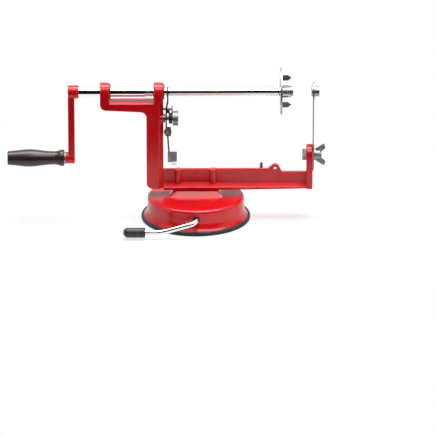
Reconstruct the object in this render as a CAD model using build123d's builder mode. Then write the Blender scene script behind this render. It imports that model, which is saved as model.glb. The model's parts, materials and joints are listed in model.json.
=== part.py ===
from build123d import *
import math
import os

os.makedirs("parts", exist_ok=True)

# A crank-driven peeling, coring and slicing machine on a suction base, in millimetres.
# The origin is the middle of the suction pad's flat underside. X runs along the shaft from the
# crank to the blade, Y from the lever side to the back, and Z up.

# Clearances
sliding_clearance = 0.2
running_clearance = 0.08
seat_clearance = 0.05
side_clearance = 0.3
cam_clearance = 0.7

# Heights from the table up
pad_rim_height = 4.5
shell_height = 20.2
pedestal_height = 6.3
shaft_rise = 103.5
shell_top = pad_rim_height + shell_height
bed_bottom = shell_top + pedestal_height
shaft_z = bed_bottom + shaft_rise

# Head and column of the casting
column_face = -32.5
column_width = 17.0
column_chamfer = 4.5
column_foot_lift = 3.0
column_foot_round = 6.0
head_length = 63.2
head_corner_round = 6.0
head_inner_round = 6.0
post_thickness = 9.5
post_radius = 9.3
floor_drop = 9.8
bridge_thickness = 7.2
bridge_deepening = 2.3
floor_corner_round = 1.4
casting_edge_round = 1.2
column_foot_z = bed_bottom + column_foot_lift
column_left = column_face - column_width
rear_post_left = column_face - head_length
rear_post_right = rear_post_left + post_thickness
front_post_left = column_face - post_thickness
floor_z = shaft_z - floor_drop
bridge_bottom = floor_z - bridge_thickness

# Bed, web and end post of the casting
bed_front = -5.0
bed_back = 13.0
bed_thickness = 6.2
bed_ledge_drop = 3.0
bed_reach = 143.3
bed_tip_rise = 1.8
bed_foot_round = 1.4
bed_neck_length = 8.0
bed_edge_round = 1.0
web_front = 3.0
web_thickness = 4.0
web_height = 13.8
web_tip_drop = 3.6
end_post_thickness = 6.3
end_post_radius = 10.6
clamp_rise = 36.3
bed_top = bed_bottom + bed_thickness
web_top = bed_top + web_height
web_back = web_front + web_thickness
end_post_left = column_face + bed_reach
end_post_right = end_post_left + end_post_thickness
clamp_z = bed_bottom + clamp_rise
end_post_top = clamp_z + end_post_radius

# Lug for an arm, on the web
lug_reach = 112.3
lug_radius = 4.6
lug_hole_radius = 1.6
lug_ramp = 7.0
lug_ramp_angle = 52.0
lug_x = column_face + lug_reach

# Screws that hold the base shell to the bed
base_screw_spacing = 34.4
base_screw_radius = 1.75
base_screw_grip = 15.0
base_screw_head_radius = 3.1
base_screw_head_height = 2.4
base_screw_slot_width = 1.0
base_screw_slot_depth = 1.0
base_washer_radius = 3.5
base_washer_thickness = 0.8
screw_boss_radius = 4.0
screw_boss_inset = 0.7
base_screw_y = web_front + screw_boss_inset

# Base shell
shell_radius = 48.7
shell_wall = 2.8
shell_edge_round = 3.0
skirt_flare = 3.7
skirt_height = 8.0
pedestal_foot_length = 54.5
pedestal_foot_width = 23.0
pedestal_shift = 2.7
pedestal_inset = 4.25
pedestal_slope_height = 5.0
pedestal_corner_round = 1.0
pedestal_wall = 2.0
skirt_radius = shell_radius + skirt_flare
pedestal_top_length = pedestal_foot_length - 2 * pedestal_inset
pedestal_top_width = pedestal_foot_width - 2 * pedestal_inset

# Suction pad
pad_ledge = 2.4
pad_edge_round = 1.5
pad_lip_width = 6.5
pad_skin = 3.4
pad_boss_radius = 17.0
pad_boss_cover = 1.0
stud_flange_radius = 13.0
stud_flange_thickness = 1.6
stud_flange_height = 1.8
stud_stem_radius = 3.5
pad_radius = skirt_radius + pad_ledge

# Suction lever, its cam and its yoke
lever_rod_radius = 2.5
lever_axis_height = 16.6
lever_standoff = 11.3
lever_drop = 9.8
lever_ramp = 34.0
lever_tail = 34.0
lever_elbow_round = 7.0
lever_ramp_round = 55.0
sleeve_radius = 5.0
sleeve_length = 22.0
sleeve_end_wall = 3.0
sleeve_end_round = 4.8
sleeve_lip_round = 0.8
lever_bush_wall = 0.7
lever_bush_flange_radius = 3.6
lever_bush_flange = 1.0
lever_boss_radius = 4.3
lever_boss_height = 0.6
cam_radius = 5.5
cam_offset = 2.0
cam_thickness = 5.0
cam_pin_radius = 0.8
cam_pin_inset = 0.5
yoke_bar = 1.8
yoke_side = 2.2
bracket_front = 9.5
bracket_thickness = 4.0
bracket_width = 14.0
bracket_tail = 5.0
lever_clip_thickness = 0.8
lever_clip_radius = 4.4
lever_clip_groove = 0.6
lever_clip_mouth = 60.0
lever_rod_overhang = 1.6
lever_front = shell_radius + lever_standoff

# Drive shaft and feed thread
shaft_radius = 5.0
thread_starts = 2
thread_pitch = 2.8
thread_depth = 1.1
thread_length = 135.5
thread_crest_share = 0.25
thread_flank_share = 0.2
fork_reach = 117.0
spigot_radius = 3.2
spigot_grip = 4.5
thread_lead = thread_starts * thread_pitch
fork_face = column_face + fork_reach
thread_start = fork_face - thread_length

# Bushes in the posts
bush_wall = 1.8
bush_flange_overlap = 0.7
bush_flange_thickness = 1.0
bush_ring_thickness = 0.8
bush_ring_overlap = 0.5
bush_recess_depth = 1.8
bush_ring_groove = 0.7
bush_ring_mouth = 50.0
bush_end_margin = 0.8
bush_bore = shaft_radius + sliding_clearance
bush_radius = bush_bore + bush_wall
bush_flange_radius = bush_radius + bush_flange_overlap
bush_ring_radius = bush_radius + bush_ring_overlap

# Crank arm, handle and their fixings
crank_gap = 21.3
crank_boss_length = 10.8
crank_arm_thickness = 6.6
crank_boss_radius = 6.7
crank_radius = 70.0
crank_eye_radius = 5.8
crank_eye_length = 2.9
crank_waist = 10.4
crank_edge_round = 0.9
crank_pin_radius = 1.5
crank_pin_inset = 2.9
crank_pin_proud = 0.4
crank_pin_bite = 0.5
handle_bolt_radius = 2.8
handle_thread_length = 6.5
handle_head_radius = 4.8
handle_head_height = 3.0
handle_slot_width = 1.2
handle_slot_depth = 1.2
handle_washer_radius = 6.4
handle_washer_thickness = 0.8
grip_length = 57.0
grip_flare_radius = 8.3
grip_neck_radius = 6.7
grip_belly_radius = 8.8
grip_tip_radius = 6.9
grip_flare_length = 4.0
grip_neck_length = 10.0
grip_belly_length = 34.0
grip_recess_radius = 5.4
grip_recess_depth = 3.6
grip_edge_round = 1.2
crank_boss_right = rear_post_left - crank_gap
crank_left = crank_boss_right - crank_boss_length
crank_pin_x = crank_boss_right - crank_pin_inset
crank_pin_depth = shaft_radius + crank_pin_bite
handle_z = shaft_z - crank_radius
eye_left = crank_left - crank_eye_length
grip_right = eye_left - handle_washer_thickness - side_clearance
grip_left = grip_right - grip_length

# Fork
fork_radius = 23.5
fork_thickness = 1.4
fork_prongs = 4
prong_width = 5.5
prong_circle = 14.2
prong_length = 9.5
prong_point = 3.5
prong_window_length = 8.5
hub_radius = 4.6
hub_web = 0.8
hub_edge_round = 0.6
skewer_socket_radius = 2.3
skewer_socket_depth = 6.0
hub_length = spigot_grip + hub_web + skewer_socket_depth
fork_right = fork_face + fork_thickness

# Blade and its clamp
blade_thickness = 1.2
blade_width = 18.0
blade_foot_drop = 14.0
blade_head_radius = 9.0
blade_bevel = 3.0
blade_edge_thickness = 0.3
blade_slot_clearance = 0.2
clamp_bolt_radius = 3.0
clamp_bolt_tail = 1.6
clamp_head_flats = 10.0
clamp_head_height = 4.0
clamp_washer_radius = 6.0
clamp_washer_thickness = 2.0
coring_bore = 4.6
coring_wall = 0.8
coring_nose = 1.4
coring_tail = 5.0
coring_edge = 0.5
wing_hub_radius = 5.0
wing_hub_length = 4.2
wing_span = 23.2
wing_root_radius = 6.2
wing_length = 9.8
wing_width = 4.6
wing_tip_cut = 1.4
wing_thickness = 2.6
wing_bore_clearance = 0.15
blade_left = end_post_right
blade_right = blade_left + blade_thickness
wing_left = blade_right + clamp_washer_thickness

# Thread latch on the column
latch_drop = 26.8
latch_pivot_y = -4.0
latch_boss_radius = 5.0
latch_spacer_radius = 4.3
latch_spacer_thickness = 2.0
latch_plate = 1.5
latch_gap = 0.15
latch_hub_radius = 5.5
latch_arm_width = 4.2
latch_arm_top = 6.5
latch_arm_offset = 1.5
latch_jog_low = 10.5
latch_jog_high = 19.0
latch_tail_drop = 18.0
latch_tail_width = 6.0
latch_foot_width = 5.4
latch_foot_height = 9.4
latch_ear_length = 2.4
latch_ear_height = 4.0
latch_ear_rise = 6.9
nib_thickness = 0.8
nib_height = 1.2
nib_bite = 0.5
shaft_side_gap = 0.4
pivot_screw_radius = 2.0
pivot_screw_grip = 9.0
pivot_head_radius = 7.6
pivot_head_height = 5.4
pivot_head_round = 1.0
pivot_grooves = 3
pivot_groove_width = 0.6
pivot_groove_depth = 0.5
pivot_slot_width = 1.4
pivot_slot_depth = 1.2
spring_wire = 1.2
spring_pitch = 1.9
spring_half_turns = 3
spring_radius = 5.2
spring_leg = 11.0
spring_samples = 400
spring_post_radius = 1.2
spring_post_rise = 8.6
spring_post_grip = 4.0
eye_wire_radius = 0.9
eye_ring_radius = 3.0
eye_shift = 1.4
eye_screw_radius = 1.5
eye_screw_head_radius = 2.1
eye_screw_head_height = 1.6
eye_screw_head_round = 0.5
release_rod_length = 18.3
release_rod_lean = 1.6
tab_width = 7.6
tab_height = 10.4
tab_plate = 1.0
tab_hem_radius = 1.7
tab_lip = 3.2
tab_lip_lean = 3.2
latch_z = shaft_z - latch_drop
latch_spacer_right = column_face + latch_spacer_thickness
latch_left = latch_spacer_right + latch_gap
latch_right = latch_left + latch_plate
latch_arm_left = latch_left + latch_arm_offset
nib_x = latch_arm_left + latch_plate / 2
latch_arm_back = -(shaft_radius + shaft_side_gap)
latch_arm_front = latch_arm_back - latch_arm_width
spring_left = latch_arm_left + latch_plate + latch_gap
spring_length = spring_half_turns * spring_pitch / 2
pivot_head_left = spring_left + spring_wire + spring_length + latch_gap
eye_y = latch_pivot_y - latch_tail_width / 2 - eye_wire_radius
eye_z = latch_z - latch_tail_drop + latch_foot_height / 2
eye_x = latch_left + latch_plate / 2 + eye_shift

# Stop pin behind the web
stop_pin_reach = 98.5
stop_pin_radius = 1.6
stop_pin_height = 18.2
stop_pin_tip = 1.8
stop_pin_offset = 3.2
stop_pin_x = column_face + stop_pin_reach
stop_pin_y = web_back + stop_pin_offset


# Round bars along each axis, added to or cut from the part that is being built
def bar_x(radius, start, length, y, z, mode=Mode.ADD):
    with BuildSketch(Plane.YZ.offset(start)) as section:
        with Locations((y, z)):
            Circle(radius)
    extrude(section.sketch, amount=length, mode=mode)


def bar_y(radius, back, length, x, z, mode=Mode.ADD):
    with BuildSketch(Plane.XZ.offset(-back)) as section:
        with Locations((x, z)):
            Circle(radius)
    extrude(section.sketch, amount=length, mode=mode)


def bar_z(radius, bottom, length, x, y, mode=Mode.ADD):
    with BuildSketch(Plane.XY.offset(bottom)) as section:
        with Locations((x, y)):
            Circle(radius)
    extrude(section.sketch, amount=length, mode=mode)


# A rectangle between two corners, in the sketch that is being drawn
def span(low, high, mode=Mode.ADD):
    middle = ((low[0] + high[0]) / 2, (low[1] + high[1]) / 2)
    with Locations(middle):
        Rectangle(high[0] - low[0], high[1] - low[1], mode=mode)


# Casting, column with the two bearing posts on its head
with BuildPart() as column_block:
    with BuildSketch(Plane.XZ) as head_outline:
        with BuildLine():
            Polyline(
                (column_left, column_foot_z),
                (column_face, column_foot_z),
                (column_face, shaft_z + post_radius),
                (front_post_left, shaft_z + post_radius),
                (front_post_left, floor_z),
                (rear_post_right, floor_z),
                (rear_post_right, shaft_z + post_radius),
                (rear_post_left, shaft_z + post_radius),
                (rear_post_left, bridge_bottom),
                (column_left, bridge_bottom - bridge_deepening),
                close=True,
            )
        make_face()
        corners = head_outline.vertices()
        fillet(corners.sort_by_distance((column_left, column_foot_z))[0], column_foot_round)
        corners = head_outline.vertices()
        fillet(corners.sort_by_distance((rear_post_left, bridge_bottom))[0], head_corner_round)
        corners = head_outline.vertices()
        inner_corner = (column_left, bridge_bottom - bridge_deepening)
        fillet(corners.sort_by_distance(inner_corner)[0], head_inner_round)
        for corner_x in (front_post_left, rear_post_right):
            corners = head_outline.vertices()
            fillet(corners.sort_by_distance((corner_x, floor_z))[0], floor_corner_round)
    extrude(amount=post_radius, both=True)
    with BuildSketch(Plane.YZ.offset(rear_post_left)):
        span((-post_radius, column_foot_z), (post_radius, shaft_z))
        with Locations((0, shaft_z)):
            Circle(post_radius)
    extrude(amount=head_length, mode=Mode.INTERSECT)
    with BuildSketch(Plane.XY.offset(column_foot_z)):
        with BuildLine():
            Polyline(
                (column_face - column_chamfer, -post_radius),
                (column_face, -post_radius),
                (column_face, column_chamfer - post_radius),
                close=True,
            )
        make_face()
    extrude(amount=floor_z - casting_edge_round - column_foot_z, mode=Mode.SUBTRACT)
    side_faces = column_block.faces().filter_by(Axis.Y)
    outline = side_faces.sort_by(Axis.Y)[0].edges() + side_faces.sort_by(Axis.Y)[-1].edges()
    tops = column_block.edges().filter_by(GeomType.CIRCLE).filter_by(
        lambda edge: abs(edge.radius - post_radius) < seat_clearance
    )
    above = [edge for edge in outline if edge.center().Z > column_foot_z + seat_clearance]
    level = [edge for edge in above if abs(edge.center().Z - shaft_z) > seat_clearance]
    fillet(level + list(tops), casting_edge_round)

# Casting, bed with a ledge that slopes to the front, the web, the end post and the bosses
with BuildPart() as bed_block:
    bed_left = column_face - seat_clearance
    ledge_z = bed_top - bed_ledge_drop
    with BuildSketch(Plane.YZ.offset(bed_left)) as bed_section:
        with BuildLine():
            Polyline(
                (bed_back, bed_bottom),
                (bed_back, bed_top),
                (web_front, bed_top),
                (bed_front, ledge_z),
                (bed_front, bed_bottom),
                close=True,
            )
        make_face()
        for corner, corner_round in (
            ((bed_front, bed_bottom), bed_foot_round),
            ((bed_front, ledge_z), bed_edge_round),
            ((bed_back, bed_top), bed_edge_round),
        ):
            fillet(bed_section.vertices().sort_by_distance(corner)[0], corner_round)
    extrude(amount=end_post_right - bed_left)
    with BuildSketch(Plane.XY.offset(bed_bottom)):
        with BuildLine():
            Polyline(
                (bed_left, post_radius - casting_edge_round),
                (column_face + bed_neck_length, bed_back),
                (bed_left, bed_back),
                close=True,
            )
        make_face()
    extrude(amount=bed_thickness, mode=Mode.SUBTRACT)
    with BuildSketch(Plane.XZ):
        with BuildLine():
            Polyline(
                (pedestal_foot_length / 2, bed_bottom),
                (end_post_right, bed_bottom),
                (end_post_right, bed_bottom + bed_tip_rise),
                close=True,
            )
        make_face()
    extrude(amount=2 * bed_back, both=True, mode=Mode.SUBTRACT)

with BuildPart() as end_post:
    with BuildSketch(Plane.YZ.offset(end_post_left)):
        span((-end_post_radius, column_foot_z), (end_post_radius, clamp_z))
        with Locations((0, clamp_z)):
            Circle(end_post_radius)
    extrude(amount=end_post_thickness)
    broad_faces = end_post.faces().filter_by(Axis.X)
    rims = broad_faces[0].edges() + broad_faces[-1].edges()
    fillet([edge for edge in rims if edge.center().Z > column_foot_z + seat_clearance], bed_edge_round)

ramp_reach = lug_radius * math.cos(math.radians(lug_ramp_angle))
ramp_rise = lug_radius * math.sin(math.radians(lug_ramp_angle))
with BuildPart() as web_plate:
    with BuildSketch(Plane.XZ.offset(-web_back)):
        with BuildLine():
            Polyline(
                (column_face - seat_clearance, bed_top - seat_clearance),
                (end_post_left + seat_clearance, bed_top - seat_clearance),
                (end_post_left + seat_clearance, web_top - web_tip_drop),
                (lug_x + lug_ramp, web_top - web_tip_drop),
                (lug_x + ramp_reach, web_top + ramp_rise),
                (lug_x - ramp_reach, web_top + ramp_rise),
                (lug_x - lug_ramp, web_top),
                (column_face - seat_clearance, web_top),
                close=True,
            )
        make_face()
        with Locations((lug_x, web_top)):
            Circle(lug_radius)
    extrude(amount=web_thickness)
    long_edges = web_plate.edges().filter_by(Axis.X)
    top_edges = long_edges.filter_by(lambda edge: abs(edge.center().Z - web_top) < seat_clearance)
    fillet(top_edges, bed_edge_round)
    bar_y(lug_hole_radius, web_back, web_thickness, lug_x, web_top, Mode.SUBTRACT)
    for side in (-1, 1):
        bar_z(
            screw_boss_radius, ledge_z, web_top - seat_clearance - ledge_z, side * base_screw_spacing / 2,
            base_screw_y,
        )

with BuildPart() as frame_casting:
    add(column_block.part)
    add(bed_block.part)
    add(end_post.part)
    add(web_plate.part)
    bar_x(latch_boss_radius, column_face - column_chamfer, column_chamfer, latch_pivot_y, latch_z)
    bar_x(bush_radius + running_clearance, rear_post_left, post_thickness, 0, shaft_z, Mode.SUBTRACT)
    bar_x(bush_ring_radius + side_clearance, rear_post_left, bush_recess_depth, 0, shaft_z, Mode.SUBTRACT)
    bar_x(bush_radius + seat_clearance, front_post_left, post_thickness, 0, shaft_z, Mode.SUBTRACT)
    bar_x(clamp_bolt_radius + blade_slot_clearance, end_post_left, end_post_thickness, 0, clamp_z,
          Mode.SUBTRACT)
    bar_x(pivot_screw_radius + seat_clearance, latch_spacer_right - pivot_screw_grip, pivot_screw_grip,
          latch_pivot_y, latch_z, Mode.SUBTRACT)
    for side in (-1, 1):
        bar_z(base_screw_radius + seat_clearance, bed_bottom, base_screw_grip,
              side * base_screw_spacing / 2, base_screw_y, Mode.SUBTRACT)
    bar_z(stop_pin_radius + seat_clearance, bed_bottom, 2 * bed_thickness, stop_pin_x, stop_pin_y,
          Mode.SUBTRACT)
    spring_post_y = latch_pivot_y + spring_radius - spring_wire / 2 - spring_post_radius
    bar_x(spring_post_radius + seat_clearance, column_face - spring_post_grip, spring_post_grip,
          spring_post_y, latch_z + spring_post_rise, Mode.SUBTRACT)
frame_casting.part.label = "frame_casting"
export_step(frame_casting.part, "parts/frame_casting.step")

# Round shell of the base, with the pedestal that carries the bed
with BuildPart() as base_shell:
    inner_radius = shell_radius - shell_wall
    skirt_top = pad_rim_height + skirt_height
    with BuildSketch(Plane.XZ):
        with BuildLine():
            Line((0, shell_top), (shell_radius - shell_edge_round, shell_top))
            RadiusArc(
                (shell_radius - shell_edge_round, shell_top),
                (shell_radius, shell_top - shell_edge_round),
                shell_edge_round,
            )
            Line((shell_radius, shell_top - shell_edge_round), (shell_radius, skirt_top))
            TangentArc((shell_radius, skirt_top), (skirt_radius, pad_rim_height), tangent=(0, -1))
            Line((skirt_radius, pad_rim_height), (skirt_radius - shell_wall, pad_rim_height))
            TangentArc(
                (inner_radius, skirt_top),
                (skirt_radius - shell_wall, pad_rim_height),
                tangent=(0, -1),
            )
            Line((inner_radius, skirt_top), (inner_radius, shell_top - shell_wall))
            Line((inner_radius, shell_top - shell_wall), (0, shell_top - shell_wall))
            Line((0, shell_top - shell_wall), (0, shell_top))
        make_face()
    revolve(axis=Axis.Z)
    slope_top = shell_top + pedestal_slope_height
    with BuildSketch(Plane.XY.offset(shell_top - seat_clearance)):
        with Locations((0, pedestal_shift)):
            RectangleRounded(pedestal_foot_length, pedestal_foot_width, pedestal_corner_round)
    with BuildSketch(Plane.XY.offset(slope_top)):
        with Locations((0, pedestal_shift)):
            RectangleRounded(pedestal_top_length, pedestal_top_width, pedestal_corner_round)
    loft()
    with BuildSketch(Plane.XY.offset(slope_top)):
        with Locations((0, pedestal_shift)):
            RectangleRounded(pedestal_top_length, pedestal_top_width, pedestal_corner_round)
    extrude(amount=bed_bottom - slope_top)
    hollow_front = pedestal_shift - pedestal_top_width / 2 + pedestal_wall
    hollow_back = pedestal_shift + pedestal_top_width / 2 - pedestal_wall
    hollow_length = pedestal_top_length - 2 * pedestal_wall
    with BuildSketch(Plane.YZ.offset(-hollow_length / 2)):
        with BuildLine():
            Polyline(
                (hollow_front - pedestal_inset, shell_top - shell_wall),
                (hollow_back, shell_top - shell_wall),
                (hollow_back, bed_bottom - shell_wall),
                (hollow_front, bed_bottom - shell_wall),
                (hollow_front, slope_top - pedestal_wall),
                close=True,
            )
        make_face()
    extrude(amount=hollow_length, mode=Mode.SUBTRACT)
    bar_y(lever_boss_radius, -(shell_radius - shell_wall), shell_wall + lever_boss_height, 0,
          lever_axis_height)
    lever_bush_radius = lever_rod_radius + running_clearance + lever_bush_wall
    bar_y(lever_bush_radius + seat_clearance, -(shell_radius - 2 * shell_wall), 4 * shell_wall, 0,
          lever_axis_height, Mode.SUBTRACT)
    with BuildSketch(Plane.XZ.offset(-(bracket_front + bracket_thickness))):
        span(
            (-bracket_width / 2, lever_axis_height - bracket_tail),
            (bracket_width / 2, shell_top - shell_wall + seat_clearance),
        )
        with Locations((0, lever_axis_height)):
            Circle(lever_rod_radius + running_clearance, mode=Mode.SUBTRACT)
    extrude(amount=bracket_thickness)
    for side in (-1, 1):
        bar_z(base_screw_radius + sliding_clearance, bed_bottom - shell_wall, shell_wall,
              side * base_screw_spacing / 2, base_screw_y, Mode.SUBTRACT)
base_shell.part.label = "base_shell"
export_step(base_shell.part, "parts/base_shell.step")

# Rubber pad with the stud's flange moulded into its middle
pad_boss_top = stud_flange_height + stud_flange_thickness + pad_boss_cover
with BuildPart() as suction_pad:
    with BuildSketch(Plane.XZ):
        with BuildLine():
            Polyline(
                (0, 0),
                (pad_radius, 0),
                (pad_radius, pad_rim_height),
                (pad_radius - pad_lip_width, pad_rim_height),
                (pad_radius - pad_lip_width, pad_skin),
                (pad_boss_radius, pad_skin),
                (pad_boss_radius, pad_boss_top),
                (stud_stem_radius, pad_boss_top),
                (stud_stem_radius, stud_flange_height + stud_flange_thickness),
                (stud_flange_radius, stud_flange_height + stud_flange_thickness),
                (stud_flange_radius, stud_flange_height),
                (0, stud_flange_height),
                close=True,
            )
        make_face()
    revolve(axis=Axis.Z)
    rims = suction_pad.edges().filter_by(GeomType.CIRCLE).filter_by(
        lambda edge: abs(edge.radius - pad_radius) < seat_clearance
    )
    fillet(rims, pad_edge_round)
suction_pad.part.label = "suction_pad"
export_step(suction_pad.part, "parts/suction_pad.step")

# Yoke and stud that the cam lifts
cam_z = lever_axis_height - cam_offset
yoke_half_height = cam_radius + cam_clearance
yoke_half_width = cam_radius + cam_offset + cam_clearance
with BuildPart() as lift_yoke:
    bar_z(stud_flange_radius - seat_clearance, stud_flange_height + seat_clearance / 2,
          stud_flange_thickness - seat_clearance, 0, 0)
    bar_z(stud_stem_radius - seat_clearance, stud_flange_height + stud_flange_thickness / 2,
          cam_z - yoke_half_height - stud_flange_height - stud_flange_thickness / 2, 0, 0)
    with BuildSketch(Plane.XZ.offset(-cam_thickness / 2)):
        with Locations((0, cam_z)):
            Rectangle(2 * (yoke_half_width + yoke_side), 2 * (yoke_half_height + yoke_bar))
            Rectangle(2 * yoke_half_width, 2 * yoke_half_height, mode=Mode.SUBTRACT)
    extrude(amount=cam_thickness)
lift_yoke.part.label = "lift_yoke"
export_step(lift_yoke.part, "parts/lift_yoke.step")

# Eccentric cam on the lever rod, and its cross pin
with BuildPart() as lift_cam:
    bar_y(cam_radius, cam_thickness / 2, cam_thickness, 0, cam_z)
    bar_y(lever_rod_radius + seat_clearance, cam_thickness / 2, cam_thickness, 0, lever_axis_height,
          Mode.SUBTRACT)
    bar_z(cam_pin_radius + seat_clearance, cam_z - cam_radius, 2 * cam_radius, 0, 0, Mode.SUBTRACT)
lift_cam.part.label = "lift_cam"
export_step(lift_cam.part, "parts/lift_cam.step")

with BuildPart() as cam_pin:
    bar_z(cam_pin_radius, cam_z - cam_radius + cam_pin_inset, 2 * (cam_radius - cam_pin_inset), 0, 0)
cam_pin.part.label = "cam_pin"
export_step(cam_pin.part, "parts/cam_pin.step")

# Bent rod of the suction lever, from its clip behind the bracket to the sleeve
clip_y = bracket_front + bracket_thickness + seat_clearance
rod_end_y = clip_y + lever_clip_thickness + lever_rod_overhang
tail_z = lever_axis_height - lever_drop
sleeve_right = -(lever_ramp + lever_tail / 2)
sleeve_left = sleeve_right - sleeve_length
with BuildPart() as lever_rod:
    with BuildLine() as rod_path:
        FilletPolyline(
            (0, rod_end_y, lever_axis_height),
            (0, -lever_front, lever_axis_height),
            (-lever_ramp, -lever_front, tail_z),
            (sleeve_left + sleeve_end_wall, -lever_front, tail_z),
            radius=[lever_elbow_round, lever_ramp_round],
        )
    with BuildSketch(Plane.XZ.offset(-rod_end_y)):
        with Locations((0, lever_axis_height)):
            Circle(lever_rod_radius)
    sweep(path=rod_path.line)
    with BuildSketch(Plane.XZ.offset(-(clip_y + lever_clip_thickness))):
        with Locations((0, lever_axis_height)):
            Circle(lever_rod_radius + lever_rod_overhang)
            Circle(lever_rod_radius - lever_clip_groove, mode=Mode.SUBTRACT)
    extrude(amount=lever_clip_thickness, mode=Mode.SUBTRACT)
    bar_z(cam_pin_radius + seat_clearance, lever_axis_height - 2 * lever_rod_radius,
          4 * lever_rod_radius, 0, 0, Mode.SUBTRACT)
lever_rod.part.label = "lever_rod"
export_step(lever_rod.part, "parts/lever_rod.step")


# An open spring ring: a flat washer with a mouth, across an axis
def open_ring(inner, outer, mouth):
    reach = 2 * outer
    half = math.radians(mouth / 2)
    Circle(outer)
    Circle(inner, mode=Mode.SUBTRACT)
    Polygon(
        (0, 0),
        (-reach * math.sin(half), -reach * math.cos(half)),
        (reach * math.sin(half), -reach * math.cos(half)),
        align=None,
        mode=Mode.SUBTRACT,
    )


with BuildPart() as lever_clip:
    clip_back = clip_y + lever_clip_thickness - seat_clearance
    with BuildSketch(Plane((0, clip_back, lever_axis_height), x_dir=(1, 0, 0), z_dir=(0, -1, 0))):
        open_ring(lever_rod_radius - lever_clip_groove + seat_clearance, lever_clip_radius,
                  lever_clip_mouth)
    extrude(amount=lever_clip_thickness - 2 * seat_clearance)
lever_clip.part.label = "lever_clip"
export_step(lever_clip.part, "parts/lever_clip.step")

# Black sleeve on the lever's free end
with BuildPart() as lever_sleeve:
    bar_x(sleeve_radius, sleeve_left, sleeve_length, -lever_front, tail_z)
    fillet(lever_sleeve.faces().sort_by(Axis.X)[0].edges(), sleeve_end_round)
    fillet(lever_sleeve.faces().sort_by(Axis.X)[-1].edges(), sleeve_lip_round)
    bar_x(lever_rod_radius + seat_clearance, sleeve_left + sleeve_end_wall, sleeve_length, -lever_front,
          tail_z, Mode.SUBTRACT)
lever_sleeve.part.label = "lever_sleeve"
export_step(lever_sleeve.part, "parts/lever_sleeve.step")

# Bush in the shell's front wall, round the lever rod
with BuildPart() as lever_bush:
    bush_front = -(shell_radius + lever_boss_height)
    bar_y(lever_bush_radius, bush_front + lever_boss_height + shell_wall,
          lever_boss_height + shell_wall, 0, lever_axis_height)
    bar_y(lever_bush_flange_radius, bush_front, lever_bush_flange, 0, lever_axis_height)
    fillet(lever_bush.faces().sort_by(Axis.Y)[0].edges(), lever_bush_flange / 2)
    bar_y(lever_rod_radius + running_clearance, 0, 2 * shell_radius, 0, lever_axis_height, Mode.SUBTRACT)
lever_bush.part.label = "lever_bush"
export_step(lever_bush.part, "parts/lever_bush.step")

# Two screws and washers that hold the base shell to the bed
washer_top = bed_bottom - shell_wall
head_top = washer_top - base_washer_thickness
with BuildPart() as base_screws:
    for side in (-1, 1):
        screw_x = side * base_screw_spacing / 2
        bar_z(base_screw_radius, head_top, bed_bottom + base_screw_grip - seat_clearance - head_top,
              screw_x, base_screw_y)
        bar_z(base_screw_head_radius, head_top - base_screw_head_height, base_screw_head_height, screw_x,
              base_screw_y)
    with BuildSketch(Plane.XY.offset(head_top - base_screw_head_height)):
        with GridLocations(base_screw_spacing, 0, 2, 1):
            with Locations((0, base_screw_y)):
                Rectangle(2 * base_screw_head_radius, base_screw_slot_width)
    extrude(amount=base_screw_slot_depth, mode=Mode.SUBTRACT)
base_screws.part.label = "base_screws"
export_step(base_screws.part, "parts/base_screws.step")

with BuildPart() as base_washers:
    for side in (-1, 1):
        bar_z(base_washer_radius, head_top, base_washer_thickness, side * base_screw_spacing / 2,
              base_screw_y)
        bar_z(base_screw_radius + sliding_clearance, head_top, base_washer_thickness,
              side * base_screw_spacing / 2, base_screw_y, Mode.SUBTRACT)
base_washers.part.label = "base_washers"
export_step(base_washers.part, "parts/base_washers.step")

# Bushes: the front one is fixed in its post, the rear one turns with the shaft
with BuildPart() as front_bush:
    bar_x(bush_radius, front_post_left, post_thickness, 0, shaft_z)
    bar_x(bush_flange_radius, column_face, bush_flange_thickness, 0, shaft_z)
    bar_x(bush_bore, front_post_left, post_thickness + bush_flange_thickness, 0, shaft_z, Mode.SUBTRACT)
front_bush.part.label = "front_bush"
export_step(front_bush.part, "parts/front_bush.step")

rear_flange_left = rear_post_right + running_clearance
rear_ring_right = rear_post_left + bush_recess_depth - running_clearance
rear_bush_left = rear_ring_right - bush_ring_thickness - bush_end_margin
with BuildPart() as rear_bush:
    bar_x(bush_radius, rear_bush_left, rear_flange_left - rear_bush_left, 0, shaft_z)
    bar_x(bush_flange_radius, rear_flange_left, bush_flange_thickness, 0, shaft_z)
    with BuildSketch(Plane.YZ.offset(rear_ring_right - bush_ring_thickness)):
        with Locations((0, shaft_z)):
            Circle(bush_flange_radius)
            Circle(bush_radius - bush_ring_groove, mode=Mode.SUBTRACT)
    extrude(amount=bush_ring_thickness, mode=Mode.SUBTRACT)
    bar_x(bush_bore, rear_bush_left, head_length, 0, shaft_z, Mode.SUBTRACT)
rear_bush.part.label = "rear_bush"
export_step(rear_bush.part, "parts/rear_bush.step")

with BuildPart() as bush_ring:
    ring_x = rear_ring_right - bush_ring_thickness + seat_clearance
    with BuildSketch(Plane((ring_x, 0, shaft_z), x_dir=(0, 1, 0), z_dir=(1, 0, 0))):
        open_ring(bush_radius - bush_ring_groove + seat_clearance, bush_ring_radius, bush_ring_mouth)
    extrude(amount=bush_ring_thickness - 2 * seat_clearance)
bush_ring.part.label = "bush_ring"
export_step(bush_ring.part, "parts/bush_ring.step")


# A point of the thread's cross-section, by radius and angle round the shaft
def section_point(radius, angle):
    return (radius * math.cos(math.radians(angle)), shaft_z + radius * math.sin(math.radians(angle)))


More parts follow.
